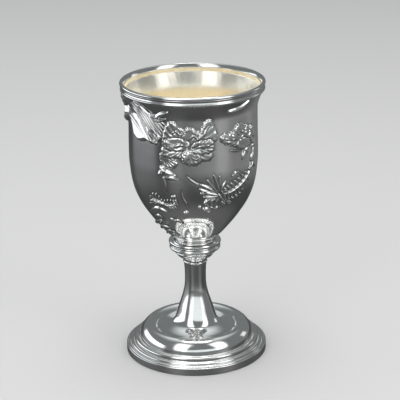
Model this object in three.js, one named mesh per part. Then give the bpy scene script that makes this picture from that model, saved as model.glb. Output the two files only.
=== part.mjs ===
// Presentation cup: a goblet-shaped bowl on a knopped trumpet stem and a stepped, reeded foot.
// Every piece is spun, raised or turned about the same upright axis and held by one centre stud.
// Millimetres, +Z up, origin at the middle of the foot's flat underside.

import * as THREE from "three";

// ---------------------------------------------------------------- driving dimensions
const SEGMENTS = 36;
const STUD_SEGMENTS = 18;
const JOINT_GAP = 0.12;

const CUP_HEIGHT = 143.0;
const LIP_RADIUS = 35.9;
const FOOT_RADIUS = 36.2;
const FOOT_EDGE_HEIGHT = 3.9;
const FOOT_SHEET = 0.9;
const STEM_SHEET = 0.9;
const BOWL_SHEET = 1.0;
const GILT_THICKNESS = 0.2;

const BOWL_FLOOR_Z = 61.95;
const BOWL_FLOOR_RADIUS = 10.8;
const BOWL_EDGE_RADIUS = 34.8;
const BOWL_EDGE_Z = 141.1;
const GILT_EDGE_Z = 140.7;
const NECK_Z = 129.0;

const SEAT_RADIUS = 9.9;
const SEAT_BOSS_RADIUS = 6.0;

const KNOP_RADIUS = 13.3;
const KNOP_SEAM_Z = 57.5;
const KNOP_BOTTOM_Z = 54.5;
const KNOP_TOP_Z = 60.9;
const COLLAR_RADIUS = 10.3;
const COLLAR_BOTTOM_Z = 51.0;
const CAPITAL_BOTTOM_Z = 47.4;

const STEM_WAIST_RADIUS = 5.4;
const STEM_SKIRT_RADIUS = 20.2;
const STEM_SKIRT_Z = 12.6;
const STEM_SKIRT_EDGE = 0.6;
const LEDGE_Z = STEM_SKIRT_Z - STEM_SKIRT_EDGE;
const DOME_CREST_RADIUS = 24.0;
const DOME_CREST_Z = 14.5;

const STUD_RADIUS = 2.5;
const STUD_HOLE_RADIUS = 2.9;
const STUD_BOTTOM_Z = 3.5;
const WASHER_RADIUS = 19.4;
const WASHER_THICKNESS = 1.2;
const NUT_ACROSS_FLATS = 8.0;
const NUT_HEIGHT = 4.0;

// ---------------------------------------------------------------- metals
function metal(color, roughness) {
  return new THREE.MeshStandardMaterial({ color, roughness, metalness: 1.0 });
}

const polishedSilver = metal(0xc6c9cc, 0.1);
const chasedSilver = metal(0xb9bcc0, 0.22);
const gilt = metal(0xe6cf9a, 0.14);
const brass = metal(0xb08d4a, 0.35);

// ---------------------------------------------------------------- profile helpers
// A profile is a list of (radius, height) points.
function at(radius, height) {
  return new THREE.Vector2(radius, height);
}

// Round stretch about a centre, angles in degrees from the outward radius.
function arc(radius, height, size, startDegrees, endDegrees, steps) {
  const points = [];
  for (let i = 0; i <= steps; i += 1) {
    const angle = THREE.MathUtils.degToRad(startDegrees + ((endDegrees - startDegrees) * i) / steps);
    points.push(at(radius + size * Math.cos(angle), height + size * Math.sin(angle)));
  }
  return points;
}

// Smooth curve through the given points.
function sweep(points, steps) {
  return new THREE.SplineCurve(points).getSpacedPoints(steps);
}

// The same line moved sideways by a distance, to its left when walking along it.
function offset(points, distance) {
  return points.map((point, i) => {
    const before = points[Math.max(i - 1, 0)];
    const after = points[Math.min(i + 1, points.length - 1)];
    const along = after.clone().sub(before).normalize();
    const radius = point.x < 1e-6 ? 0 : point.x - along.y * distance;
    return at(radius, point.y + along.x * distance);
  });
}

// Closed loop of a sheet between its outside line and its inside line.
function sheet(outside, inside) {
  return [...outside, ...inside.slice().reverse()];
}

// Turned solid. Rings close on themselves, and profiles that reach the axis stop there.
function turned(profile, segments = SEGMENTS) {
  const anticlockwise = THREE.ShapeUtils.area(profile) > 0;
  const points = anticlockwise ? profile.slice() : profile.slice().reverse();
  const touchesAxis = points.some((point) => point.x < 1e-6);
  if (!touchesAxis) {
    points.push(points[0].clone());
  }
  const geometry = new THREE.LatheGeometry(points, segments);
  geometry.rotateX(Math.PI / 2);
  return geometry;
}

function piece(name, geometry, material) {
  const mesh = new THREE.Mesh(geometry, material);
  mesh.name = name;
  return mesh;
}

// ---------------------------------------------------------------- bowl
// Outside of the bowl sheet, from the floor's edge to the flare under the lip.
function bowlWall() {
  const belly = sweep(
    [
      at(BOWL_FLOOR_RADIUS, BOWL_FLOOR_Z),
      at(14.6, 65.2),
      at(21.9, 74.2),
      at(27.4, 82.9),
      at(30.6, 91.6),
      at(32.0, 102.0),
      at(32.15, 110.0),
      at(32.0, 120.0),
      at(31.95, NECK_Z),
    ],
    12,
  );
  const flare = sweep([at(31.95, NECK_Z + 1.5), at(32.7, 133.4), at(34.0, 136.8), at(34.75, 138.6)], 4);
  return [...belly, ...flare];
}

function bowlOutside() {
  return [at(0, BOWL_FLOOR_Z), ...bowlWall(), at(BOWL_EDGE_RADIUS, BOWL_EDGE_Z)];
}

function bowl() {
  const outside = bowlOutside();
  const inside = offset(outside, BOWL_SHEET);
  inside[inside.length - 1].y = BOWL_EDGE_Z;
  return piece("bowl", turned(sheet(outside, inside)), chasedSilver);
}

// The gold layer follows the bowl's inside and stops just short of the lip.
function giltLining() {
  const bowlLine = bowlOutside();
  const back = offset(bowlLine, BOWL_SHEET + JOINT_GAP);
  const face = offset(bowlLine, BOWL_SHEET + JOINT_GAP + GILT_THICKNESS);
  back[back.length - 1].y = GILT_EDGE_Z;
  face[face.length - 1].y = GILT_EDGE_Z;
  return piece("gilt_lining", turned(sheet(back, face)), gilt);
}

// Applied lip wire: fine lower bead, cove, rolled lip, and a rebate over the sheet's edge.
function rimMoulding() {
  const rollSize = 0.95;
  const innerFace = BOWL_EDGE_RADIUS + JOINT_GAP;
  const profile = [
    at(innerFace, 138.3),
    ...arc(34.95, 139.1, 0.75, -60, 60, 4),
    at(35.2, 140.3),
    ...arc(LIP_RADIUS - rollSize, CUP_HEIGHT - rollSize, rollSize, -54, 126, 6),
    at(33.75, BOWL_EDGE_Z + JOINT_GAP),
    at(innerFace, BOWL_EDGE_Z + JOINT_GAP),
  ];
  return piece("rim_moulding", turned(profile), polishedSilver);
}

// Seat ring under the bowl: shows as the deep groove above the knop, and takes the stud's thread.
function bowlSeat() {
  const top = BOWL_FLOOR_Z - JOINT_GAP;
  const bossBottom = 57.2;
  const profile = [
    at(STUD_HOLE_RADIUS, top),
    at(STUD_HOLE_RADIUS, bossBottom),
    at(SEAT_BOSS_RADIUS, bossBottom),
    at(SEAT_BOSS_RADIUS, KNOP_TOP_Z + JOINT_GAP),
    at(SEAT_RADIUS, KNOP_TOP_Z + JOINT_GAP),
    at(SEAT_RADIUS, top),
  ];
  return piece("bowl_seat", turned(profile), polishedSilver);
}

// ---------------------------------------------------------------- knop and collars
function knopUpper() {
  const bore = SEAT_BOSS_RADIUS + JOINT_GAP * 2;
  const shell = 0.9;
  const profile = [
    at(11.6, KNOP_SEAM_Z + JOINT_GAP),
    at(12.5, KNOP_SEAM_Z + JOINT_GAP),
    ...arc(KNOP_RADIUS - 1.1, 59.0, 1.1, -50, 80, 5),
    at(11.0, 60.6),
    at(SEAT_RADIUS, KNOP_TOP_Z),
    at(bore, KNOP_TOP_Z),
    at(bore, KNOP_TOP_Z - shell),
    at(10.6, 59.6),
    at(11.6, 58.8),
  ];
  return piece("knop_upper", turned(profile), polishedSilver);
}

function knopLower() {
  const shell = 0.9;
  const profile = [
    at(STUD_HOLE_RADIUS, KNOP_BOTTOM_Z),
    at(10.3, KNOP_BOTTOM_Z),
    at(11.5, 54.9),
    ...arc(KNOP_RADIUS - 1.3, 56.2, 1.0, -50, 60, 4),
    at(12.4, KNOP_SEAM_Z),
    at(11.6, KNOP_SEAM_Z),
    at(11.2, 56.2),
    at(10.4, KNOP_BOTTOM_Z + shell),
    at(STUD_HOLE_RADIUS, KNOP_BOTTOM_Z + shell),
  ];
  return piece("knop_lower", turned(profile), polishedSilver);
}

// Swept ring that steps the knop down to the stem.
function collarLower() {
  const profile = [
    at(STUD_HOLE_RADIUS, COLLAR_BOTTOM_Z),
    at(8.2, COLLAR_BOTTOM_Z),
    at(8.9, 51.4),
    at(9.3, 52.2),
    ...arc(COLLAR_RADIUS - 0.7, 53.5, 0.7, -50, 70, 4),
    at(9.4, KNOP_BOTTOM_Z - JOINT_GAP),
    at(STUD_HOLE_RADIUS, KNOP_BOTTOM_Z - JOINT_GAP),
  ];
  return piece("collar_lower", turned(profile), polishedSilver);
}

// Beaded ring on top of the stem, with a spigot inside it.
function stemCapital() {
  const top = COLLAR_BOTTOM_Z - JOINT_GAP;
  const spigotRadius = 4.3;
  const spigotBottom = CAPITAL_BOTTOM_Z - 2.4;
  const profile = [
    at(spigotRadius, spigotBottom),
    at(spigotRadius, CAPITAL_BOTTOM_Z),
    at(5.5, CAPITAL_BOTTOM_Z),
    ...arc(5.7, CAPITAL_BOTTOM_Z + 0.6, 0.55, -60, 60, 3),
    at(5.85, 49.0),
    at(6.3, 50.0),
    at(7.6, top),
    at(STUD_HOLE_RADIUS, top),
    at(STUD_HOLE_RADIUS, spigotBottom),
  ];
  return piece("stem_capital", turned(profile), polishedSilver);
}

// ---------------------------------------------------------------- stem and foot
// Hollow trumpet stem, flat skirt at the bottom.
function stem() {
  const outside = sweep(
    [
      at(STEM_SKIRT_RADIUS, STEM_SKIRT_Z + STEM_SKIRT_EDGE / 3),
      at(16.6, 13.3),
      at(12.6, 15.2),
      at(10.4, 18.6),
      at(8.5, 24.0),
      at(6.5, 30.2),
      at(STEM_WAIST_RADIUS, 38.0),
      at(5.45, 43.0),
      at(5.75, CAPITAL_BOTTOM_Z - JOINT_GAP),
    ],
    14,
  );
  const inside = offset(outside, STEM_SHEET);
  inside[0] = at(STEM_SKIRT_RADIUS - STEM_SKIRT_EDGE, LEDGE_Z + JOINT_GAP);
  inside[inside.length - 1].y = CAPITAL_BOTTOM_Z - JOINT_GAP;
  return piece("stem", turned(sheet(outside, inside)), polishedSilver);
}

// Spun foot: flat edge, rising flange under the reeding, rolled dome and an inner ledge for the stem.
function footDome() {
  const outside = [
    at(35.0, 3.1),
    at(33.4, 3.2),
    at(29.7, 6.3),
    ...sweep(
      [
        at(29.2, 8.3),
        at(28.2, 11.3),
        at(26.3, 13.5),
        at(DOME_CREST_RADIUS, DOME_CREST_Z),
        at(22.0, 14.0),
        at(STEM_SKIRT_RADIUS + 0.4, STEM_SKIRT_Z),
      ],
      7,
    ),
    at(20.0, LEDGE_Z),
    at(16.8, LEDGE_Z),
  ];
  const inside = offset(outside, FOOT_SHEET);
  inside[inside.length - 1].x = outside[outside.length - 1].x;
  inside[0].x = outside[0].x;
  return piece("foot_dome", turned(sheet(outside, inside)), polishedSilver);
}

// Applied reeded wire: three reeds that climb the flange towards the dome.
function footReeding() {
  const gap = JOINT_GAP + 0.05;
  const profile = [
    at(35.3, 3.1 + gap),
    ...arc(34.7, 3.75, 0.7, 0, 150, 3),
    ...arc(33.1, 4.7, 0.95, 0, 150, 3),
    ...arc(31.0, 6.7, 1.15, 0, 150, 3),
    at(29.75, 7.2),
    at(29.75, 6.3 + gap * 1.6),
    at(33.45, 3.2 + gap * 1.6),
  ];
  return piece("foot_reeding", turned(profile), polishedSilver);
}

// Heavy edge wire with the flat underside that the cup stands on.
function footRimWire() {
  const profile = [
    at(33.2, 0),
    at(FOOT_RADIUS - 0.15, 0),
    at(FOOT_RADIUS, 0.15),
    at(FOOT_RADIUS, FOOT_EDGE_HEIGHT - 0.5),
    at(FOOT_RADIUS - 0.5, FOOT_EDGE_HEIGHT),
    at(35.55, FOOT_EDGE_HEIGHT - 0.2),
    at(35.55, 2.05),
    at(33.2, 2.05),
  ];
  return piece("foot_rim_wire", turned(profile), polishedSilver);
}

// ---------------------------------------------------------------- centre fixing inside the foot
const WASHER_TOP_Z = LEDGE_Z - FOOT_SHEET - JOINT_GAP;
const NUT_TOP_Z = WASHER_TOP_Z - WASHER_THICKNESS - JOINT_GAP;

function spreaderWasher() {
  const bottom = WASHER_TOP_Z - WASHER_THICKNESS;
  const profile = [
    at(STUD_HOLE_RADIUS, bottom),
    at(WASHER_RADIUS, bottom),
    at(WASHER_RADIUS, WASHER_TOP_Z),
    at(STUD_HOLE_RADIUS, WASHER_TOP_Z),
  ];
  return piece("spreader_washer", turned(profile), brass);
}

function studNut() {
  const corner = NUT_ACROSS_FLATS / Math.sqrt(3);
  const outline = new THREE.Shape();
  for (let i = 0; i < 6; i += 1) {
    const angle = (i * Math.PI) / 3;
    const move = i === 0 ? "moveTo" : "lineTo";
    outline[move](corner * Math.cos(angle), corner * Math.sin(angle));
  }
  const hole = new THREE.Path();
  hole.absarc(0, 0, STUD_HOLE_RADIUS, 0, 2 * Math.PI, true);
  outline.holes.push(hole);
  const geometry = new THREE.ExtrudeGeometry(outline, {
    depth: NUT_HEIGHT,
    bevelEnabled: false,
    curveSegments: STUD_SEGMENTS,
  });
  const mesh = piece("stud_nut", geometry, brass);
  mesh.position.z = NUT_TOP_Z - NUT_HEIGHT;
  return mesh;
}

function centreStud() {
  const top = BOWL_FLOOR_Z - JOINT_GAP * 2;
  const chamfer = 0.5;
  const profile = [
    at(0, STUD_BOTTOM_Z),
    at(STUD_RADIUS - chamfer, STUD_BOTTOM_Z),
    at(STUD_RADIUS, STUD_BOTTOM_Z + chamfer),
    at(STUD_RADIUS, top),
    at(0, top),
  ];
  return piece("centre_stud", turned(profile, STUD_SEGMENTS), brass);
}

// ---------------------------------------------------------------- the cup
const cup = new THREE.Group();
cup.name = "presentation_cup";

const bowlGroup = new THREE.Group();
bowlGroup.add(bowl(), giltLining(), rimMoulding(), bowlSeat());

const knopGroup = new THREE.Group();
knopGroup.add(knopUpper(), knopLower(), collarLower());

const footGroup = new THREE.Group();
footGroup.add(stemCapital(), stem(), footDome(), footReeding(), footRimWire());

const fixingGroup = new THREE.Group();
fixingGroup.add(centreStud(), spreaderWasher(), studNut());

cup.add(bowlGroup, knopGroup, footGroup, fixingGroup);

export default cup;
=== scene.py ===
"""Presentation cup: chased silver goblet bowl, gold-washed inside, on a knopped stem and a reeded foot.

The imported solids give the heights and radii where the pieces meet. Each spun piece is turned again
here from a fine profile, and the bowl's wall is raised from a flat sheet with the chased flowers.
"""
import logging
import math
from dataclasses import dataclass
from enum import Enum
from typing import Sequence

import bpy
import numpy as np
from bpy.types import Material, Mesh, Node, NodeSocket, NodeTree, Object
from mathutils import Euler, Matrix, Vector


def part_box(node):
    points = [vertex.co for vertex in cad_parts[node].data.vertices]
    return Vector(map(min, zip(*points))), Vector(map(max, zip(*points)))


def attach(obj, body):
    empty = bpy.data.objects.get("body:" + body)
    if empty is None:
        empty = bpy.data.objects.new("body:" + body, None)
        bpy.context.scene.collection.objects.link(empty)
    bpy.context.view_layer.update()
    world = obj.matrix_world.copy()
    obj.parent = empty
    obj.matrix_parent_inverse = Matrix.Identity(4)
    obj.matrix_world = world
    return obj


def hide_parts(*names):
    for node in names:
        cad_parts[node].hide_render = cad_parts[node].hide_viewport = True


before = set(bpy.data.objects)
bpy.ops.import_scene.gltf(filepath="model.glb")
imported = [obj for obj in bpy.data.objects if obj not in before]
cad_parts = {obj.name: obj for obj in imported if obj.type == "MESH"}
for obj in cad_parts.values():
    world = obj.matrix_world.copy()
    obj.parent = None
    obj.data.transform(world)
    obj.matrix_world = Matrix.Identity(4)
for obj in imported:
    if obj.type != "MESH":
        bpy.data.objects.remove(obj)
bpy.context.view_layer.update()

logging.basicConfig(level=logging.INFO, format="%(name)s: %(message)s")
LOG = logging.getLogger("cup")

MM = 0.001
BODY = "root"
ON_AXIS = 1e-6
STUD_HOLE = 2.9
FLATS = 192
WIDE_FLATS = 256
BLOCK = 4
Point = tuple[float, float]


# ---------------------------------------------------------------------------- node helpers
class Tree:
    """Short hand for building a node tree, shader or geometry."""

    def __init__(self, tree: NodeTree) -> None:
        """Keeps the tree that the nodes go into.

        Args:
            tree: An empty node tree, or one with only its interface.
        """
        self.tree = tree

    def node(self, kind: str, label: str = "", **settings: object) -> Node:
        """Adds a node and sets its properties.

        Args:
            kind: The node's type name.
            label: A plain name for the reader.
            **settings: Properties of the node, such as operation.

        Returns:
            The new node.
        """
        made = self.tree.nodes.new(kind)
        made.label = label
        for name, value in settings.items():
            setattr(made, name, value)
        return made

    def feed(self, socket: NodeSocket, value: object) -> None:
        """Links a socket to another node's output, or sets its constant.

        Args:
            socket: The input to feed.
            value: An output socket, or a plain value.
        """
        if isinstance(value, NodeSocket):
            self.tree.links.new(value, socket)
        else:
            socket.default_value = value

    def maths(self, operation: str, *values: object) -> NodeSocket:
        """Adds a maths node.

        Args:
            operation: Such as ADD or MULTIPLY.
            *values: Its inputs in order, sockets or numbers.

        Returns:
            Its output.
        """
        made = self.node("ShaderNodeMath", operation=operation)
        for socket, value in zip(made.inputs, values):
            self.feed(socket, value)
        return made.outputs[0]

    def noise(self, vector: object, detail: float, roughness: float = 0.5) -> NodeSocket:
        """Adds a noise texture and returns its factor.

        Args:
            vector: Where it is read, already scaled.
            detail: Octaves.
            roughness: How strong the fine octaves are.

        Returns:
            The noise, about 0.5 on average.
        """
        made = self.node("ShaderNodeTexNoise")
        for name, value in (("Vector", vector), ("Scale", 1.0), ("Detail", detail), ("Roughness", roughness)):
            self.feed(made.inputs[name], value)
        return made.outputs["Fac"]

    def stretch(self, vector: object, scale: Sequence[float], turn: Sequence[float]) -> NodeSocket:
        """Adds a mapping node that stretches and turns coordinates.

        Args:
            vector: The coordinates.
            scale: Factor along each axis.
            turn: Rotation about each axis, radians.

        Returns:
            The new coordinates.
        """
        made = self.node("ShaderNodeMapping")
        for name, value in (("Vector", vector), ("Scale", scale), ("Rotation", turn)):
            self.feed(made.inputs[name], value)
        return made.outputs[0]

    def place(self, scale: object) -> NodeSocket:
        """Adds the object's own coordinates times a factor.

        Args:
            scale: The factor.

        Returns:
            The scaled coordinates.
        """
        scaled = self.node("ShaderNodeVectorMath", operation="SCALE")
        self.feed(scaled.inputs[0], self.node("ShaderNodeTexCoord").outputs["Object"])
        self.feed(scaled.inputs["Scale"], scale)
        return scaled.outputs[0]

    def split(self, vector: object) -> bpy.types.NodeOutputs:
        """Takes a vector apart into its outputs X, Y and Z."""
        apart = self.node("ShaderNodeSeparateXYZ")
        self.feed(apart.inputs[0], vector)
        return apart.outputs

    def round_axis(self, radius: object, angle: object, height: object) -> NodeSocket:
        """Adds a place given round the upright axis.

        Args:
            radius: Distance from the axis.
            angle: Radians round it, 0 in front.
            height: Height.

        Returns:
            The place.
        """
        joined = self.node("ShaderNodeCombineXYZ")
        self.feed(joined.inputs["X"], self.maths("MULTIPLY", radius, self.maths("SINE", angle)))
        forwards = self.maths("MULTIPLY", radius, self.maths("COSINE", angle))
        self.feed(joined.inputs["Y"], self.maths("MULTIPLY", forwards, -1.0))
        self.feed(joined.inputs["Z"], height)
        return joined.outputs[0]

    def ramp(self, value: object, low: float, high: float) -> NodeSocket:
        """Adds a smooth step from 0 to 1.

        Args:
            value: What is mapped.
            low: Input that gives 0.
            high: Input that gives 1.

        Returns:
            The mapped value.
        """
        made = self.node("ShaderNodeMapRange", interpolation_type="SMOOTHSTEP")
        for name, given in (("Value", value), ("From Min", low), ("From Max", high)):
            self.feed(made.inputs[name], given)
        return made.outputs[0]

    def blend(self, factor: object, first: object, second: object) -> NodeSocket:
        """Adds a colour mix.

        Args:
            factor: Share of the second colour.
            first: Colour at 0, as numbers or a socket.
            second: Colour at 1, as numbers or a socket.

        Returns:
            The mixed colour.
        """
        made = self.node("ShaderNodeMix", data_type="RGBA")
        for name, given in (("Factor", factor), ("A", first), ("B", second)):
            self.feed(made.inputs[name], given)
        return made.outputs["Result"]

    def effect(self, shared: NodeTree, **values: float) -> Node:
        """Places a shared surface effect.

        Args:
            shared: The effect's group.
            **values: Its inputs by name.

        Returns:
            The group node.
        """
        made = self.node("ShaderNodeGroup", node_tree=shared)
        for name, value in values.items():
            made.inputs[name].default_value = value
        return made

    def bump(self, label: str, depth: float, height: object) -> Node:
        """Adds a bump node.

        Args:
            label: A plain name for the reader.
            depth: Its full depth in metres.
            height: The height that it reads.

        Returns:
            The bump node.
        """
        made = self.node("ShaderNodeBump", label)
        made.inputs["Distance"].default_value = depth
        self.feed(made.inputs["Height"], height)
        return made


def group(
    kind: str, name: str, inputs: Sequence[tuple], outputs: Sequence[tuple]
) -> tuple[Tree, Node, Node]:
    """Makes an empty node group with named sockets.

    Args:
        kind: ShaderNodeTree or GeometryNodeTree.
        name: The group's name.
        inputs: (name, socket type, default or None) of each input.
        outputs: (name, socket type) of each output.

    Returns:
        The tree, its group input node and its group output node.
    """
    tree = bpy.data.node_groups.new(name, kind)
    for label, socket, default in inputs:
        made = tree.interface.new_socket(label, in_out="INPUT", socket_type=socket)
        if default is not None:
            made.default_value = default
    for label, socket in outputs:
        tree.interface.new_socket(label, in_out="OUTPUT", socket_type=socket)
    short = Tree(tree)
    return short, short.node("NodeGroupInput"), short.node("NodeGroupOutput")


def add(name: str, data: bpy.types.ID) -> Object:
    """Puts a new object in the scene."""
    made = bpy.data.objects.new(name, data)
    bpy.context.scene.collection.objects.link(made)
    return made


# ---------------------------------------------------------------------------- shared surface effects
FLOAT = "NodeSocketFloat"

# How each set of scratches is turned, in radians, and how many there are to a metre each way.
SCRATCH_SETS = (
    ((0.3, 0.5, 0.2), (900, 900, 14)),
    ((1.2, 0.1, 0.9), (800, 10, 800)),
    ((0.7, 1.4, 2.1), (12, 700, 700)),
)
SCRATCHED_ROUGHNESS = 0.08
TARNISHED_ROUGHNESS = 0.1


def scratch_group() -> NodeTree:
    """Fine handling scratches that run in a few directions.

    Returns:
        A shader group with outputs Height and Mask.
    """
    tree, given, result = group(
        "ShaderNodeTree",
        "handling_scratches",
        [("Scale", FLOAT, 1.0), ("Strength", FLOAT, 1.0)],
        [("Height", FLOAT), ("Mask", FLOAT)],
    )
    place = tree.place(given.outputs["Scale"])
    total: object = 0.0
    for turn, fineness in SCRATCH_SETS:
        lines = tree.noise(tree.stretch(place, fineness, turn), 1.0)
        total = tree.maths("ADD", total, tree.ramp(lines, 0.66, 0.8))
    mask = tree.maths("MINIMUM", total, 1.0)
    depth = tree.maths("MULTIPLY", given.outputs["Strength"], -1.0)
    tree.feed(result.inputs["Mask"], tree.maths("MULTIPLY", mask, given.outputs["Strength"]))
    tree.feed(result.inputs["Height"], tree.maths("MULTIPLY", mask, depth))
    return tree.tree


def planish_group() -> NodeTree:
    """Faint unevenness that hammering and polishing leave in sheet silver.

    Returns:
        A shader group with the output Height.
    """
    tree, given, result = group(
        "ShaderNodeTree",
        "planished_sheet",
        [("Across", FLOAT, 150.0), ("Upright", FLOAT, 60.0), ("Strength", FLOAT, 1.0)],
        [("Height", FLOAT)],
    )
    size = tree.node("ShaderNodeCombineXYZ")
    for axis, name in (("X", "Across"), ("Y", "Across"), ("Z", "Upright")):
        tree.feed(size.inputs[axis], given.outputs[name])
    scaled = tree.node("ShaderNodeVectorMath", operation="MULTIPLY")
    tree.feed(scaled.inputs[0], tree.node("ShaderNodeTexCoord").outputs["Object"])
    tree.feed(scaled.inputs[1], size.outputs[0])
    waves = tree.noise(scaled.outputs[0], 2.0, 0.45)
    tree.feed(result.inputs["Height"], tree.maths("MULTIPLY", waves, given.outputs["Strength"]))
    return tree.tree


def tarnish_group() -> NodeTree:
    """Uneven film of tarnish, heaviest where the groove value is high.

    Returns:
        A shader group with the output Mask.
    """
    tree, given, result = group(
        "ShaderNodeTree",
        "tarnish_film",
        [("Groove", FLOAT, 0.0), ("Amount", FLOAT, 0.2), ("Scale", FLOAT, 120.0)],
        [("Mask", FLOAT)],
    )
    cloud = tree.ramp(tree.noise(tree.place(given.outputs["Scale"]), 4.0, 0.6), 0.35, 0.75)
    film = tree.maths("MULTIPLY", cloud, given.outputs["Amount"])
    share = tree.maths("ADD", tree.maths("MULTIPLY", cloud, 0.3), 0.7)
    held = tree.maths("MULTIPLY", given.outputs["Groove"], share)
    tree.feed(result.inputs["Mask"], tree.maths("MINIMUM", tree.maths("ADD", film, held), 1.0))
    return tree.tree


@dataclass(frozen=True)
class Effects:
    """The surface effects that several metals share."""

    scratches: NodeTree
    planish: NodeTree
    tarnish: NodeTree

    @classmethod
    def build(cls) -> "Effects":
        """Builds each group once."""
        return cls(scratch_group(), planish_group(), tarnish_group())


@dataclass(frozen=True)
class Finish:
    """A metal finish, read by one Principled shader."""

    name: str
    slot: str
    clean: tuple[float, float, float]
    tarnished: tuple[float, float, float]
    roughness: float
    satin_roughness: float
    film: float
    scratch_scale: float
    scratch_depth: float
    planish_across: float
    planish_upright: float
    planish_depth: float
    chased: bool = False

    def material(self, effects: Effects) -> Material:
        """Builds the finish.

        Args:
            effects: The shared groups.

        Returns:
            The material.
        """
        made = bpy.data.materials.new(self.name)
        made.use_nodes = True
        made.node_tree.nodes.clear()
        tree = Tree(made.node_tree)
        shader = tree.node("ShaderNodeBsdfPrincipled")
        tree.feed(tree.node("ShaderNodeOutputMaterial").inputs["Surface"], shader.outputs[0])
        shader.inputs["Metallic"].default_value = 1.0

        tarnish = tree.effect(effects.tarnish, Amount=self.film)
        scratches = tree.effect(effects.scratches, Scale=self.scratch_scale)
        planish = tree.effect(effects.planish, Across=self.planish_across, Upright=self.planish_upright)

        scratched, film = scratches.outputs["Mask"], tarnish.outputs["Mask"]
        rough: object = tree.maths("MULTIPLY_ADD", scratched, SCRATCHED_ROUGHNESS, self.roughness)
        if self.chased:
            satin = tree.node("ShaderNodeAttribute", attribute_name="chased").outputs["Fac"]
            groove = tree.node("ShaderNodeAttribute", attribute_name="groove").outputs["Fac"]
            tree.feed(tarnish.inputs["Groove"], groove)
            rough = tree.maths("MULTIPLY_ADD", satin, self.satin_roughness - self.roughness, rough)
        rough = tree.maths("MULTIPLY_ADD", film, TARNISHED_ROUGHNESS, rough)
        tree.feed(shader.inputs["Roughness"], rough)
        colour = tree.blend(film, (*self.clean, 1), (*self.tarnished, 1))
        tree.feed(shader.inputs["Base Color"], colour)

        wave = tree.bump("planished", self.planish_depth, planish.outputs["Height"])
        fine = tree.bump("scratched", self.scratch_depth, scratches.outputs["Height"])
        tree.feed(fine.inputs["Normal"], wave.outputs[0])
        tree.feed(shader.inputs["Normal"], fine.outputs[0])
        return made


SILVER = Finish(
    name="polished_silver", slot="silver_polished",
    clean=(0.93, 0.93, 0.925), tarnished=(0.55, 0.53, 0.5),
    roughness=0.1, satin_roughness=0.1, film=0.12,
    scratch_scale=1.0, scratch_depth=0.000004,
    planish_across=90.0, planish_upright=60.0, planish_depth=0.00006,
)
CHASED = Finish(
    name="chased_silver", slot="silver_chased",
    clean=(0.94, 0.94, 0.935), tarnished=(0.34, 0.34, 0.34),
    roughness=0.09, satin_roughness=0.19, film=0.08,
    scratch_scale=1.0, scratch_depth=0.000005,
    planish_across=70.0, planish_upright=45.0, planish_depth=0.00012, chased=True,
)
GILT = Finish(
    name="gold_wash", slot="gilt",
    clean=(1.0, 0.965, 0.87), tarnished=(1.0, 0.915, 0.77),
    roughness=0.33, satin_roughness=0.33, film=0.35,
    scratch_scale=1.0, scratch_depth=0.000006,
    planish_across=170.0, planish_upright=18.0, planish_depth=0.0004,
)
BRASS = Finish(
    name="turned_brass", slot="fixing_brass",
    clean=(0.72, 0.55, 0.27), tarnished=(0.3, 0.22, 0.12),
    roughness=0.3, satin_roughness=0.3, film=0.6,
    scratch_scale=0.8, scratch_depth=0.00001,
    planish_across=200.0, planish_upright=200.0, planish_depth=0.00003,
)


# ---------------------------------------------------------------------------- profiles, millimetres
def arc(radius: float, height: float, size: float, start: float, end: float, steps: int = 16) -> list[Point]:
    """Round stretch of a profile.

    Args:
        radius: Radius of the arc's centre from the cup's axis.
        height: Height of the arc's centre.
        size: The arc's own radius.
        start: First angle in degrees, 0 pointing outwards and 90 up.
        end: Last angle in degrees.
        steps: Number of straight pieces.

    Returns:
        Its points.
    """
    angles = np.radians(np.linspace(start, end, steps + 1))
    return [(radius + size * math.cos(a), height + size * math.sin(a)) for a in angles]


def sweep(points: Sequence[Point], spacing: float = 0.35, closed: bool = False) -> list[Point]:
    """Smooth curve through a few points, evenly stepped.

    Args:
        points: The points that it goes through.
        spacing: Length of a step.
        closed: Whether it runs back to its start.

    Returns:
        Points along the curve.
    """
    ends = (points[-1], points[:2]) if closed else (points[0], points[-1:])
    p = np.array([ends[0], *points, *ends[1]], float)
    fine: list[np.ndarray] = []
    for a, b, c, d in zip(p[:-3], p[1:-2], p[2:-1], p[3:]):
        t = np.linspace(0, 1, 24, endpoint=False)[:, None]
        bend = (2 * a - 5 * b + 4 * c - d) * t**2 + (3 * b - a - 3 * c + d) * t**3
        fine.append(0.5 * (2 * b + (c - a) * t + bend))
    line = np.vstack([*fine, p[-2:-1]])
    length = np.concatenate([[0], np.cumsum(np.linalg.norm(np.diff(line, axis=0), axis=1))])
    marks = np.linspace(0, length[-1], max(int(length[-1] / spacing), 2) + 1)
    return [(float(np.interp(m, length, line[:, 0])), float(np.interp(m, length, line[:, 1]))) for m in marks]


def offset(points: Sequence[Point], distance: float) -> list[Point]:
    """The same line moved sideways, to its left when walking along it.

    Args:
        points: The line.
        distance: How far it moves.

    Returns:
        The moved line.
    """
    p = np.array(points, float)
    along = np.gradient(p, axis=0)
    along /= np.linalg.norm(along, axis=1)[:, None]
    moved = p + distance * np.stack([-along[:, 1], along[:, 0]], 1)
    moved[p[:, 0] < ON_AXIS, 0] = 0.0
    return [(float(a), float(b)) for a, b in moved]


def remove(thing: Object) -> None:
    """Deletes a helper object."""
    bpy.data.objects.remove(thing)


def wire(name: str, points: Sequence[Point]) -> Object:
    """Lays a profile in the XZ plane as a chain of edges, in metres.

    Args:
        name: The object's name.
        points: Profile in millimetres.

    Returns:
        A mesh object with no faces.
    """
    mesh = bpy.data.meshes.new(name)
    chain = [(i, i + 1) for i in range(len(points) - 1)]
    mesh.from_pydata([(r * MM, 0.0, z * MM) for r, z in points], chain, [])
    return add(name, mesh)


# ---------------------------------------------------------------------------- geometry node trees
GEOMETRY = "NodeSocketGeometry"
SEAM_GAP = 2e-6


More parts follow.
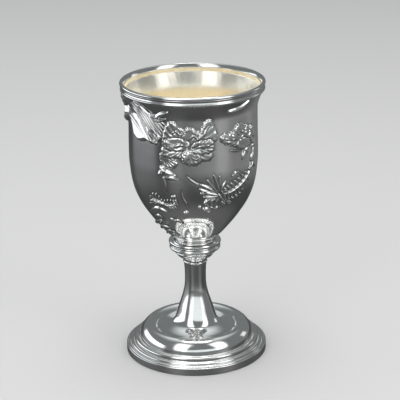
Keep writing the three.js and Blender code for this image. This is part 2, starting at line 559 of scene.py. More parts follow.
class TurningTree:
    """Geometry tree that spins a profile round the upright axis, as on a lathe."""

    def __init__(self) -> None:
        """Builds the tree."""
        tree, given, result = group(
            "GeometryNodeTree",
            "spun_profile",
            [
                ("Profile", GEOMETRY, None),
                ("Segments", "NodeSocketInt", FLATS),
                ("Crease Angle", FLOAT, math.radians(38)),
                ("Metal", "NodeSocketMaterial", None),
            ],
            [("Piece", GEOMETRY)],
        )
        self.group = tree.tree
        count = tree.node("GeometryNodeAttributeDomainSize", component="MESH")
        tree.feed(count.inputs[0], given.outputs["Profile"])
        points = count.outputs["Point Count"]
        sheet = tree.node("GeometryNodeMeshGrid")
        tree.feed(sheet.inputs["Vertices X"], tree.maths("ADD", given.outputs["Segments"], 1.0))
        tree.feed(sheet.inputs["Vertices Y"], points)
        index = tree.node("GeometryNodeInputIndex").outputs[0]
        column = tree.maths("FLOOR", tree.maths("DIVIDE", tree.maths("ADD", index, 0.25), points))
        row = tree.maths("SUBTRACT", index, tree.maths("MULTIPLY", column, points))
        sample = tree.node("GeometryNodeSampleIndex", data_type="FLOAT_VECTOR")
        tree.feed(sample.inputs["Geometry"], given.outputs["Profile"])
        tree.feed(sample.inputs["Value"], tree.node("GeometryNodeInputPosition").outputs[0])
        tree.feed(sample.inputs["Index"], row)
        point = tree.split(sample.outputs[0])
        turned = tree.maths("MULTIPLY", column, 2 * math.pi)
        angle = tree.maths("DIVIDE", turned, given.outputs["Segments"])
        place = tree.round_axis(point["X"], angle, point["Z"])
        finish_tree(tree, sheet.outputs["Mesh"], place, given, result)


class WallTree:
    """Geometry tree that wraps a flat sheet round a profile and raises its relief.

    The sheet's x is the angle round the cup, its y the length along the profile and its z the relief.
    """

    def __init__(self) -> None:
        """Builds the tree."""
        tree, given, result = group(
            "GeometryNodeTree",
            "raised_wall",
            [
                ("Sheet", GEOMETRY, None),
                ("Profile", "NodeSocketObject", None),
                ("Relief", FLOAT, 1.0),
                ("Crease Angle", FLOAT, math.radians(60)),
                ("Metal", "NodeSocketMaterial", None),
            ],
            [("Piece", GEOMETRY)],
        )
        self.group = tree.tree
        source = tree.node("GeometryNodeObjectInfo", transform_space="ORIGINAL")
        tree.feed(source.inputs["Object"], given.outputs["Profile"])
        line = tree.node("GeometryNodeMeshToCurve")
        tree.feed(line.inputs[0], source.outputs["Geometry"])
        flat = tree.split(tree.node("GeometryNodeInputPosition").outputs[0])
        sample = tree.node("GeometryNodeSampleCurve", mode="LENGTH")
        tree.feed(sample.inputs["Curves"], line.outputs[0])
        tree.feed(sample.inputs["Length"], flat["Y"])
        on_line = tree.split(sample.outputs["Position"])
        along = tree.split(sample.outputs["Tangent"])
        rise = tree.maths("MULTIPLY", flat["Z"], given.outputs["Relief"])
        radius = tree.maths("ADD", on_line["X"], tree.maths("MULTIPLY", along["Z"], rise))
        height = tree.maths("SUBTRACT", on_line["Z"], tree.maths("MULTIPLY", along["X"], rise))
        place = tree.round_axis(radius, flat["X"], height)
        finish_tree(tree, given.outputs["Sheet"], place, given, result)


def finish_tree(tree: Tree, sheet: object, place: object, given: Node, result: Node) -> None:
    """Bends a sheet into place, closes its seams, keeps creases sharp, and gives the metal.

    Args:
        tree: The tree to end.
        sheet: The flat geometry.
        place: Where each of its points goes.
        given: The group's input node, with Crease Angle and Metal.
        result: The group's output node.
    """
    bent = tree.node("GeometryNodeSetPosition")
    tree.feed(bent.inputs["Geometry"], sheet)
    tree.feed(bent.inputs["Position"], place)
    closed = tree.node("GeometryNodeMergeByDistance")
    closed.inputs["Distance"].default_value = SEAM_GAP
    tree.feed(closed.inputs["Geometry"], bent.outputs[0])
    smooth = tree.node("GeometryNodeSetShadeSmooth", domain="FACE")
    tree.feed(smooth.inputs[0], closed.outputs[0])
    angle = tree.node("GeometryNodeInputMeshEdgeAngle").outputs["Unsigned Angle"]
    sharp = tree.node("FunctionNodeCompare", data_type="FLOAT", operation="GREATER_THAN")
    tree.feed(sharp.inputs[0], angle)
    tree.feed(sharp.inputs[1], given.outputs["Crease Angle"])
    crease = tree.node("GeometryNodeSetShadeSmooth", domain="EDGE")
    tree.feed(crease.inputs["Geometry"], smooth.outputs[0])
    tree.feed(crease.inputs["Selection"], sharp.outputs[0])
    crease.inputs["Shade Smooth"].default_value = False
    real = tree.node("GeometryNodeRealizeInstances")
    tree.feed(real.inputs[0], crease.outputs[0])
    dressed = tree.node("GeometryNodeSetMaterial")
    tree.feed(dressed.inputs["Geometry"], real.outputs[0])
    tree.feed(dressed.inputs["Material"], given.outputs["Metal"])
    tree.feed(result.inputs["Piece"], dressed.outputs[0])


def evaluate(source: Object, tree: NodeTree, name: str, **values: object) -> Object:
    """Runs a geometry tree on an object and keeps the result as a plain mesh.

    Args:
        source: The object that goes in, which is used up.
        tree: The geometry tree.
        name: Name of the new piece.
        **values: The tree's inputs by name, with spaces as underscores.

    Returns:
        The new piece, with its faces outwards.
    """
    modifier = source.modifiers.new("build", "NODES")
    modifier.node_group = tree
    for item in tree.interface.items_tree:
        key = item.name.replace(" ", "_")
        if item.in_out == "INPUT" and key in values:
            modifier[item.identifier] = values[key]
    graph = bpy.context.evaluated_depsgraph_get()
    mesh = bpy.data.meshes.new_from_object(source.evaluated_get(graph), depsgraph=graph)
    source.modifiers.remove(modifier)
    remove(source)
    mesh.name = name
    face_outwards(mesh)
    return add(name, mesh)


def face_outwards(mesh: Mesh) -> None:
    """Turns a closed mesh the right way out, judged by its signed volume.

    Args:
        mesh: The mesh, changed in place.
    """
    mesh.calc_loop_triangles()
    places = np.zeros(len(mesh.vertices) * 3)
    mesh.vertices.foreach_get("co", places)
    places = places.reshape(-1, 3)
    corners = np.zeros(len(mesh.loop_triangles) * 3, int)
    mesh.loop_triangles.foreach_get("vertices", corners)
    a, b, c = (places[corners.reshape(-1, 3)[:, i]] for i in range(3))
    if np.einsum("ij,ij->i", a, np.cross(b, c)).sum() < 0:
        mesh.flip_normals()


def keep(piece: Object, slot: str, *nodes: str) -> Object:
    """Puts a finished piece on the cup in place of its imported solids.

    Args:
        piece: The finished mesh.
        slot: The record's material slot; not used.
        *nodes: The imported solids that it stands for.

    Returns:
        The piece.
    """
    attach(piece, BODY)
    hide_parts(*nodes)
    LOG.info("%s: %d faces, for %s", piece.name, len(piece.data.polygons), ", ".join(nodes))
    return piece


# ---------------------------------------------------------------------------- workshop
@dataclass
class Workshop:
    """The trees and metals that every sub-assembly uses."""

    turning: TurningTree
    walling: WallTree
    silver: Material
    chased: Material
    gilt: Material
    brass: Material

    @classmethod
    def open(cls) -> "Workshop":
        """Builds the trees and mixes the metals."""
        effects = Effects.build()
        return cls(
            TurningTree(),
            WallTree(),
            *(finish.material(effects) for finish in (SILVER, CHASED, GILT, BRASS)),
        )

    def spin(self, name: str, profile: Sequence[Point], metal: Material, segments: int = FLATS) -> Object:
        """Spins a profile into a piece.

        Args:
            name: The piece's name.
            profile: Outline in millimetres. It starts and ends on the axis, or it is closed here.
            metal: Its material.
            segments: Flats round the cup.

        Returns:
            The piece.
        """
        points = list(profile)
        if min(r for r, _ in points) > ON_AXIS:
            points.append(points[0])
        source = wire(name + "_profile", points)
        return evaluate(source, self.turning.group, name, Segments=segments, Metal=metal)


# ---------------------------------------------------------------------------- chased ornament
class Outline(Enum):
    """How wide a stroke is along its length."""

    LANCE = "pointed at both ends"
    DROP = "round at the base, pointed at the tip"
    PETAL = "narrow at the base, round at the tip"
    STEM = "the same width all along"
    BUD = "round at both ends"

    def width(self, t: np.ndarray) -> np.ndarray:
        """Share of the full width.

        Args:
            t: Place along the spine, 0 to 1.

        Returns:
            The share, 0 to 1.
        """
        t = np.clip(t, 0, 1)
        if self is Outline.LANCE:
            return np.maximum(np.sin(np.pi * t), 0) ** 0.7
        if self is Outline.DROP:
            return 1.75 * np.sqrt(t + 0.02) * (1 - t) ** 0.75
        if self is Outline.PETAL:
            return 1.75 * np.sqrt(1.02 - t) * t**0.75
        if self is Outline.STEM:
            return np.clip(np.minimum(t, 1 - t) * 12, 0.3, 1)
        return np.sqrt(np.clip(1 - (2 * t - 1) ** 2, 0, 1))


@dataclass(frozen=True)
class Stroke:
    """A blade, stem, vein or bud, raised along a short spine.

    Spine points are (degrees round the bowl, height in mm); the other sizes are mm. The lean is how
    much it rises towards its lower side, and under is the share of the form below that it rides on.
    """

    spine: tuple[Point, ...]
    width: float
    rise: float
    outline: Outline = Outline.LANCE
    midrib: float = 0.0
    lean: float = 0.22
    under: float = 0.35


@dataclass(frozen=True)
class Petal:
    """A petal or broad leaf with a closed outline, soft shoulders and a rolled edge.

    Places are (degrees round the bowl, height in mm); the other sizes are mm. The flutes run out
    from the heart, and lean is how much it rises towards its lower edge.
    """

    outline: tuple[Point, ...]
    heart: Point
    rise: float = 0.75
    lip: float = 0.26
    ruffle: float = 0.5
    waves: int = 9
    flute: float = 0.085
    flutes: int = 30
    lean: float = 0.05
    shoulder: float = 1.3
    under: float = 0.25


Form = Stroke | Petal


def soft_step(x: np.ndarray, low: float, high: float) -> np.ndarray:
    """Smooth step from 0 at low to 1 at high."""
    t = np.clip((x - low) / (high - low), 0, 1)
    return t * t * (3 - 2 * t)


def bell(x: np.ndarray, centre: float, size: float) -> np.ndarray:
    """Bell curve of height 1."""
    return np.exp(-(((x - centre) / size) ** 2))


def shoulder(x: np.ndarray) -> np.ndarray:
    """Round shoulder that rises from 0 at 0 to 1 at 1."""
    return 1 - (1 - np.clip(x, 0, 1)) ** 2


class Canvas:
    """Flat map of the bowl's wall that the relief is drawn on, all in mm.

    STEP is the size of a cell and MARGIN the room round a form. BLEND is how far a form's edge fades
    to each side, CUT the depth of the groove along it, and BURNISH how bright the rub inside it is.
    """

    STEP = 0.1
    MARGIN = 0.9
    BLEND = 0.14
    CUT = 0.12
    BURNISH = 0.75
    MAPS = ("relief", "chased", "groove")

    def __init__(self, wall: Sequence[Point]) -> None:
        """Lays the map out.

        Args:
            wall: Outside profile of the wall, bottom to top.
        """
        line = np.array(wall, float)
        marks = np.concatenate([[0], np.cumsum(np.linalg.norm(np.diff(line, axis=0), axis=1))])
        self.length = float(marks[-1])
        self.along = np.arange(0, self.length, self.STEP)
        self.radius = np.interp(self.along, marks, line[:, 0])
        self.height_at = np.interp(self.along, marks, line[:, 1])
        self.columns = int(round(2 * math.pi * line[:, 0].max() / self.STEP))
        for name in self.MAPS:
            setattr(self, name, np.zeros((len(self.along), self.columns)))

    def spot(self, place: Point) -> np.ndarray:
        """Angle in radians and length along the wall of a place given in degrees and height."""
        return np.array([math.radians(place[0]), np.interp(place[1], self.height_at, self.along)])

    def flatten(self, places: Sequence[Point]) -> tuple[np.ndarray, np.ndarray]:
        """Puts places on a flat patch round their middle.

        Args:
            places: Places in degrees and height.

        Returns:
            The middle as (angle, along), and the places as (right, up) from it in mm.
        """
        spots = np.array([self.spot(p) for p in places])
        middle = (spots.min(0) + spots.max(0)) / 2
        local = spots - middle
        local[:, 0] *= np.interp(spots[:, 1], self.along, self.radius)
        return middle, local

    def patch(
        self, middle: np.ndarray, local: np.ndarray, room: float
    ) -> tuple[tuple, np.ndarray, np.ndarray]:
        """Part of the map round some local points.

        Args:
            middle: (angle, along) of the local origin.
            local: Points that have to lie inside.
            room: Margin round them.

        Returns:
            The index of the patch, and each cell's local right and up.
        """
        low, high = local.min(0) - room, local.max(0) + room
        first = max(int((middle[1] + low[1]) / self.STEP), 0)
        last = min(int((middle[1] + high[1]) / self.STEP), len(self.along) - 1)
        rows = np.arange(first, last + 1)
        least = max(float(self.radius[rows].min()), 5.0)
        ring = self.columns / (2 * math.pi)
        left, end = (int((middle[0] + side / least) * ring) for side in (low[0], high[0]))
        columns = np.arange(left, end + 2)
        right = self.radius[rows][:, None] * (columns / ring - middle[0])[None, :]
        up = (self.along[rows] - middle[1])[:, None] + 0 * right
        return np.ix_(rows, columns % self.columns), right, up

    def lay(self, patch: tuple, edge: np.ndarray, shape: np.ndarray, under: float) -> None:
        """Lays a raised form over what is there.

        Args:
            patch: Index of the patch.
            edge: Distance inside the form's outline, negative outside.
            shape: Its height above the ground.
            under: Share of the relief underneath that it rides on.
        """
        cover = soft_step(edge, -self.BLEND, self.BLEND)
        cut = bell(edge, -0.2, 0.18)
        burnish = self.BURNISH * bell(edge, 0.4, 0.28)
        satin = soft_step(edge, -0.4, 0.1) - burnish
        old = self.relief[patch]
        self.relief[patch] = cover * (shape + under * old) + (1 - cover) * (old - self.CUT * cut)
        self.chased[patch] = np.maximum(self.chased[patch] * (1 - cover), satin)
        self.groove[patch] = np.maximum(self.groove[patch] * (1 - cover), cut)

    def stroke(self, form: Stroke) -> None:
        """Raises a stroke.

        Args:
            form: The stroke.
        """
        middle, local = self.flatten(form.spine)
        spine = np.array(sweep([tuple(p) for p in local], 0.4))
        patch, right, up = self.patch(middle, spine, form.width / 2 + self.MARGIN)
        best, share, above = self.nearest(spine, right, up)
        wide = 0.5 * form.width * form.outline.width(share)
        edge = wide - best
        room = np.maximum(wide, 0.05)
        body = shoulder(edge / (0.7 * room + 0.1))
        shape = (form.rise - form.lean * above) * body
        if form.midrib:
            shape = shape - form.midrib * bell(best, 0, 0.2) * soft_step(edge, 0.1, 0.5)
        self.lay(patch, edge, shape, form.under)

    @staticmethod
    def nearest(
        line: np.ndarray, right: np.ndarray, up: np.ndarray
    ) -> tuple[np.ndarray, np.ndarray, np.ndarray]:
        """Nearest point of a line to each cell.

        Args:
            line: The line's points.
            right: Each cell's place to the right.
            up: Each cell's place upwards.

        Returns:
            The distance, the share of the line's length, and the height above the line.
        """
        best = np.full(right.shape, 1e9)
        share, above = np.zeros(right.shape), np.zeros(right.shape)
        sizes = np.linalg.norm(np.diff(line, axis=0), axis=1)
        marks = np.concatenate([[0], np.cumsum(sizes)]) / sizes.sum()
        for a, b, size, t0, t1 in zip(line[:-1], line[1:], sizes, marks[:-1], marks[1:]):
            if size < 1e-9:
                continue
            dx, dy = (b - a) / size
            x, y = right - a[0], up - a[1]
            k = np.clip((x * dx + y * dy) / size, 0, 1)
            over = y - k * size * dy
            gap = np.hypot(x - k * size * dx, over)
            nearer = gap < best
            best = np.where(nearer, gap, best)
            share = np.where(nearer, t0 + (t1 - t0) * k, share)
            above = np.where(nearer, over, above)
        return best, share, above

    def petal(self, form: Petal) -> None:
        """Raises a petal.

        Args:
            form: The petal.
        """
        middle, local = self.flatten([*form.outline, form.heart])
        heart, local = local[-1], local[:-1]
        line = np.array(sweep([tuple(p) for p in local], 0.35, closed=True))
        sizes = np.concatenate([[0], np.cumsum(np.linalg.norm(np.diff(line, axis=0), axis=1))])
        along = np.gradient(line, axis=0)
        along /= np.linalg.norm(along, axis=1)[:, None] + 1e-12
        area = np.sum(line[:-1, 0] * line[1:, 1] - line[1:, 0] * line[:-1, 1])
        outward = np.stack([along[:, 1], -along[:, 0]], 1) * np.sign(area)
        wave = np.abs(np.sin(np.pi * form.waves * sizes / sizes[-1])) - 0.6
        line = line + outward * (form.ruffle * wave)[:, None]
        line[-1] = line[0]

        patch, right, up = self.patch(middle, line, self.MARGIN)
        best, share, _ = self.nearest(line, right, up)
        inside = np.zeros(right.shape, bool)
        for a, b in zip(line[:-1], line[1:]):
            if a[1] != b[1]:
                crosses = (a[1] > up) != (b[1] > up)
                inside ^= crosses & (right < (b[0] - a[0]) * (up - a[1]) / (b[1] - a[1]) + a[0])
        edge = np.where(inside, best, -best)
        away = np.hypot(right - heart[0], up - heart[1])
        turn = np.arctan2(up - heart[1], right - heart[0])
        body = shoulder(edge / form.shoulder)
        dish = 0.62 + 0.38 * soft_step(away, 0.0, 5.0)
        fold = np.cos(form.flutes * turn) * soft_step(away, 1.0, 4.5) * form.flute
        swell = form.flute * 1.6 * np.cos(2 * np.pi * form.waves * share) * bell(edge, 0.6, 1.0)
        roll = form.lip * bell(edge, 0.42, 0.3)
        tip = form.lean * (up - float(line[:, 1].mean()))
        shape = (form.rise * dish - tip + fold + swell) * body + roll
        self.lay(patch, edge, np.maximum(shape, 0.08 * body), form.under)

    def draw(self, forms: Sequence[Form]) -> None:
        """Raises forms in order, each over the last.

        Args:
            forms: The strokes and petals.
        """
        for form in forms:
            if isinstance(form, Petal):
                self.petal(form)
            else:
                self.stroke(form)

    def smooth(self, passes: int) -> None:
        """Softens the relief, as planishing from outside does.

        Args:
            passes: How often each cell is blended with its neighbours.
        """
        for _ in range(passes):
            self.relief = (np.roll(self.relief, 1, 1) + 2 * self.relief + np.roll(self.relief, -1, 1)) / 4
            self.relief[1:-1] = (self.relief[:-2] + 2 * self.relief[1:-1] + self.relief[2:]) / 4

    def mirror(self, turn: float) -> None:
        """Lays a mirrored copy of everything on the bowl's other side.

        Args:
            turn: Degrees where the copy's middle goes.
        """
        shift = int(round(turn / 360 * self.columns)) + 1
        for name in self.MAPS:
            drawn = getattr(self, name)
            copy = np.roll(drawn[:, ::-1], shift, axis=1)
            setattr(self, name, np.where(np.abs(copy) > np.abs(drawn), copy, drawn))

    def read(self, name: str, angle: np.ndarray, along: np.ndarray) -> np.ndarray:
        """Value of a map at given places, blended between its cells.

        Args:
            name: relief, chased or groove.
            angle: Radians round the bowl.
            along: Length along the wall.

        Returns:
            The values.
        """
        drawn = getattr(self, name)
        x = (angle / (2 * math.pi) * self.columns) % self.columns
        y = np.clip(along / self.STEP, 0, len(self.along) - 1.001)
        i, j = np.floor(x).astype(int), np.floor(y).astype(int)
        fx, fy = x - i, y - j
        i0, i1 = i % self.columns, (i + 1) % self.columns
        low = drawn[j, i0] * (1 - fx) + drawn[j, i1] * fx
        high = drawn[j + 1, i0] * (1 - fx) + drawn[j + 1, i1] * fx
        return low * (1 - fy) + high * fy


def crease(spine: tuple[Point, ...], width: float, rise: float) -> Stroke:
    """Fine pointed fold that rides on the full height of the form under it."""
    return Stroke(spine, width, rise, under=1.0)


def blades() -> list[Form]:
    """Long blades that sweep down from the lip to the large blossom, and the leaves beside them."""
    gathered = (
        (-104, 128), (-100, 133), (-94, 137), (-86, 138.4), (-80, 137),
        (-80, 132), (-84, 128), (-86, 124.4), (-92, 123), (-100, 124),
    )
    broad = (
        (-97, 131.5), (-86, 132.0), (-78, 131.6), (-70, 131.2), (-62, 130.8), (-55, 129.8), (-49, 129.0),
        (-44, 127.4), (-40, 125.2), (-37, 122.0), (-33, 119.8), (-33, 118.4), (-38, 118.6), (-44, 119.3),
        (-50, 118.2), (-55, 118.8), (-60, 120.5), (-63, 122.8), (-68, 125.2), (-76, 127.0),
        (-86, 126.8), (-97, 125.4),
    )
    forms: list[Form] = [
        Petal(
            gathered,
            (-90, 131), rise=1.8, lip=0.2, ruffle=0.5, waves=9, flute=0.14, flutes=18, shoulder=2.4,
        ),
        Petal(
            broad,
            (-90, 129), rise=1.0, lip=0.12, ruffle=0.4, waves=22, flute=0.04, flutes=16, lean=0.2,
            shoulder=1.6,
        ),
        crease(((-92, 129.6), (-78, 128.8), (-64, 127.6), (-52, 124.6), (-42, 121.2)), 0.6, 0.16),
    ]
    forms.append(Stroke(((-62, 136.0), (-50, 132.6), (-40, 128.6), (-30, 122.4)), 7.5, 0.4, under=0.4))
    count = 9
    for i in range(count):
        k = i / (count - 1)
        start = (-66 + 20 * k, 134.6 + 3.6 * math.sin(2.4 * k))
        middle = (-50 + 18 * k, 128.4 + 2.9 * k)
        end = (-33.5 + 11 * k, 118.8 + 8.6 * k * k)
        bend = ((start[0] + middle[0]) / 2, (start[1] + middle[1]) / 2 + 0.7)
        forms.append(Stroke((start, bend, middle, end), 0.95, 0.5, under=0.9))
    forms += [
        Stroke(((-56, 138.0), (-48, 136.4), (-41, 133.6), (-34, 131.8)), 1.5, 1.0, lean=0.3),
        Stroke(((-37, 130.6), (-30, 130.2), (-22.5, 131.8)), 1.9, 0.7, Outline.DROP, lean=0.32),
        Stroke(
            ((-39, 132.0), (-32, 132.0), (-27, 133.8), (-19.6, 135.6)),
            3.2, 0.9, Outline.DROP, lean=0.36,
        ),
        crease(((-38, 126.4), (-33, 123.9), (-28.4, 121.4)), 1.0, 0.6),
    ]
    return forms


def large_blossom() -> list[Form]:
    """The wide ruffled blossom at the front: back petals first, then lobes, cup and rolled folds."""
    heart = (-6, 118.0)
    return [
        Petal(
            (
                (-29, 114.4), (-23, 114), (-16, 112.4), (-14, 109.4), (-17, 107.4), (-21, 106.8),
                (-27, 108.2), (-30, 111),
            ),
            (-27, 113), rise=0.6, waves=11, flute=0.1,
        ),
        Petal(
            (
                (-26, 117), (-27, 122), (-25, 126.4), (-21, 130), (-16, 130.2), (-12.6, 128), (-9, 127.2),
                (-7, 124), (-9, 120), (-16, 117),
            ),
            heart, rise=0.85, waves=13,
        ),
        Petal(
            (
                (-9, 119), (-9, 124), (-6.5, 127.2), (-2, 127.8), (2, 126.4), (5.5, 125.2), (6, 121),
                (2, 118),
            ),
            heart, rise=0.9, waves=11,
        ),
        Petal(
            (
                (3, 119), (4, 123.5), (7, 127), (9.6, 130.2), (14, 131.6), (17, 130), (18.8, 126.8),
                (21, 124.6), (20.4, 121), (14, 118.5), (8, 117.5),
            ),
            heart, rise=1.1, waves=15,
        ),
        Petal(
            ((3, 115.4), (9, 115.6), (15, 115.4), (17, 113.4), (14, 111.2), (9, 111), (4, 112)),
            heart, rise=0.45, lip=0.12, waves=8,
        ),
        Petal(
            (
                (-28, 117), (-22, 118), (-14, 117.4), (-6, 117.6), (-2, 115), (-3.6, 112.2), (-8.4, 110.8),
                (-14, 112.4), (-20, 112.2), (-26, 113.4),
            ),
            heart, rise=0.95, waves=13,
        ),
        Petal(
            (
                (-8, 116), (0, 116.4), (4.4, 114.8), (7, 112.4), (5.4, 110), (1, 109.1), (-5, 109.4),
                (-9.6, 111.2),
            ),
            heart, rise=1.15, lip=0.36, waves=8,
        ),
        Petal(
            (
                (-1, 119.6), (5, 121.4), (12, 122), (17, 121), (18.6, 118), (16.6, 115.6), (11, 114.6),
                (5, 114.4), (0, 115.4), (-1.6, 117.4),
            ),
            (2, 118), rise=1.25, lip=0.4, waves=9,
        ),
        Petal(
            (
                (-25, 121), (-18, 122.6), (-10, 122.4), (-4, 121), (-3, 118.4), (-8, 116.4), (-16, 115.9),
                (-24, 116.8),
            ),
            (-14, 121), rise=1.15, lip=0.36, ruffle=0.2, waves=6, flutes=44,
        ),
        crease(((1, 117.2), (6, 118.6), (12, 119.0), (15.6, 117.8)), 0.9, 0.3),
        crease(((-19, 124.4), (-14, 125.8), (-11, 124.2), (-8, 125)), 0.8, 0.3),
        crease(((9, 123.4), (11, 126.4), (14.4, 128.8)), 0.9, 0.32),
        crease(((-3, 121.6), (0, 123.8), (3, 122.6), (4, 120.4)), 0.9, 0.34),
        Stroke(((-16, 118.6), (-12, 119.3), (-8, 119.0)), 1.4, 0.45, Outline.BUD, under=1.0),
        crease(((-1, 113.6), (2, 112.2), (4.4, 113.2)), 0.8, 0.3),
    ]


def side_blossom() -> list[Form]:
    """The smaller ruffled blossom to its right, with its bud, stalk and the crescent under the lip."""
    heart = (46, 119.0)
    return [
        Stroke(
            ((30.6, 134.6), (37, 134.6), (44.6, 135.6), (51.6, 138.8)),
            3.3, 0.9, Outline.DROP, lean=0.38,
        ),
        Stroke(((68, 121), (65.5, 114), (62.5, 108), (59, 102)), 1.1, 0.7, Outline.STEM),
        Stroke(((62, 112.6), (66, 114.6), (71, 114.0)), 3.0, 0.8, midrib=0.2),
        Stroke(((64, 109.6), (61.5, 108.2), (60, 105.6)), 2.8, 0.9, Outline.DROP, midrib=0.2),
        Stroke(((61, 105), (64.5, 104.4), (67.5, 102)), 2.2, 0.8, midrib=0.15),
        Stroke(((57.4, 101.6), (60, 103.4), (62, 105.6)), 2.2, 0.9, Outline.BUD),
        Petal(
            (
                (35, 120.5), (36.6, 124), (41, 126.8), (46, 127.3), (50.6, 125.6), (52, 122), (48, 119.5),
                (40, 119),
            ),
            heart, rise=0.95, waves=12,
        ),
        Petal(
            ((49, 120.5), (50.4, 124.4), (54.4, 125.6), (57.4, 123), (57, 119), (52, 118)),
            heart, rise=1.05, waves=9,
        ),
        Petal(
            ((54, 118.6), (57, 122.8), (61, 124.4), (65.6, 122.4), (67.2, 118.4), (64, 115), (58, 115)),
            heart, rise=1.2, waves=10,
        ),
        Petal(
            (
                (23.4, 121), (27, 123.6), (32, 123.2), (36.4, 124), (41, 121.5), (42.6, 118.5), (39.4, 116),
                (33, 117.4), (27.6, 118.5),
            ),
            heart, rise=1.0, lip=0.34, waves=10,
        ),
        Petal(
            ((39.6, 118), (47, 119.4), (54.4, 118.4), (57.6, 115.4), (53, 113), (46, 113.8), (40.4, 115.2)),
            heart, rise=1.2, lip=0.34, waves=10,
        ),
        crease(((40, 121.6), (44, 120), (48, 121), (50.6, 119.6)), 1.0, 0.36),
        crease(((43, 124.4), (46, 122.6), (48, 124)), 0.8, 0.3),
        crease(((27, 121.2), (32, 120.4), (38, 119.6)), 0.8, 0.28),
        crease(((58.6, 121.6), (60, 119.2), (63.6, 118.4)), 0.9, 0.34),
        Stroke(((53.4, 114.2), (50, 111.8), (46.6, 108.6)), 4.4, 1.1, Outline.DROP, midrib=0.25),
        crease(((46, 113.4), (50, 113.2), (55, 110.8)), 0.9, 0.3),
        Stroke(((33, 114.6), (38, 113.9), (45, 113.2)), 0.7, 0.3),
    ]


def rays(centre: Point, tips: Sequence[Point], width: float, rise: float) -> list[Form]:
    """Slender petals from a flower's middle.

    Args:
        centre: The middle, degrees and mm.
        tips: Where each petal ends.
        width: Width of a petal.
        rise: Its height.

    Returns:
        The petals, each over the last.
    """
    made: list[Form] = []
    for i, tip in enumerate(tips):
        bend = 0.5 * (-1) ** i
        middle = (centre[0] + 0.55 * (tip[0] - centre[0]), centre[1] + 0.55 * (tip[1] - centre[1]) + bend)
        spine = (centre, middle, tip)
        made.append(Stroke(spine, width, rise + 0.08 * (i % 2), Outline.PETAL, midrib=0.2, under=0.2))
    return made


def frond(
    spine: Sequence[Point],
    teeth: int,
    reach: tuple[float, float],
    drop: tuple[float, float],
    width: float,
) -> list[Form]:
    """Comb of slender leaflets along a spine, with the spine over them.

    Args:
        spine: Degrees and mm, from the base.
        teeth: Number of leaflets on each side.
        reach: Degrees that the lower and the upper leaflets reach along.
        drop: Height that the lower and the upper leaflets cover.
        width: Width of a leaflet.

    Returns:
        The leaflets and the spine.
    """
    line = np.array(sweep(spine, 0.5))
    made: list[Form] = []
    for side in (0, 1):
        for i in range(teeth):
            share = (i + 0.4) / teeth
            foot = line[int(share * (len(line) - 1))]
            size = math.sin(math.pi * (0.2 + 0.72 * share))
            tip = (foot[0] + reach[side] * size, foot[1] + drop[side] * size)
            bend = (foot[0] + 0.4 * reach[side] * size, foot[1] + 0.62 * drop[side] * size)
            made.append(Stroke(((foot[0], foot[1]), bend, tip), width, 0.75, under=0.2))
    made.append(Stroke(tuple(spine), 1.3, 0.95, under=0.5))
    return made


def daisy_spray() -> list[Form]:
    """The daisy low on the right, the fringed leaf that climbs from it, and small leaves round them."""
    centre = (24, 92.6)
    tips = (
        (29, 99.6), (23, 102.8), (17.4, 103.6), (11.8, 101.2),
        (5.6, 99.2), (5.0, 96.9), (5.8, 94.7), (8.6, 92.6),
    )
    forms: list[Form] = [
        Stroke(((-6, 103.6), (-2, 101.4), (2, 99.9), (6, 99.2)), 0.9, 0.45),
        Petal(
            ((9, 89.6), (16, 91), (24, 91), (31, 90), (34, 87.6), (27, 85.8), (20, 85.8), (13, 87)),
            (24, 91), rise=0.5, lip=0.15, waves=11, flute=0.12, flutes=36,
        ),
        *rays(centre, ((14, 88.2), (19.4, 86.8), (25, 86.4), (30.4, 87.6)), 1.9, 0.7),
        *rays(centre, tips, 1.8, 0.75),
        *frond(
            ((26.6, 92.4), (33, 93.2), (39, 94.3), (45, 95.7), (51, 97.9), (57, 100.8), (60, 103.2)),
            9, (6.5, -5.5), (-5.2, 3.6), 1.15,
        ),
        Stroke(((23, 92.2), (24.5, 92.8)), 3.2, 1.35, Outline.BUD),
        Stroke(((4, 87.4), (6.6, 86.8)), 1.5, 0.8, Outline.BUD),
        Stroke(((8.6, 88.6), (11.6, 90.4), (15, 91.0)), 1.5, 0.85, under=0.6),
        Stroke(((8, 86.2), (12, 85.6), (16.6, 84)), 2.2, 1.05, Outline.BUD, under=0.6),
        Stroke(((20.4, 86.6), (22.4, 86.0)), 2.1, 1.25, Outline.BUD),
        Stroke(((31.4, 88.6), (35, 87.8), (38.6, 86.4)), 1.7, 0.7, midrib=0.15),
        Stroke(((35.6, 101.4), (39.4, 103), (43.4, 102.6)), 1.7, 0.7, Outline.DROP),
        Stroke(((43, 102.4), (47, 100.4), (51, 98.2)), 0.8, 0.35),
    ]
    return forms


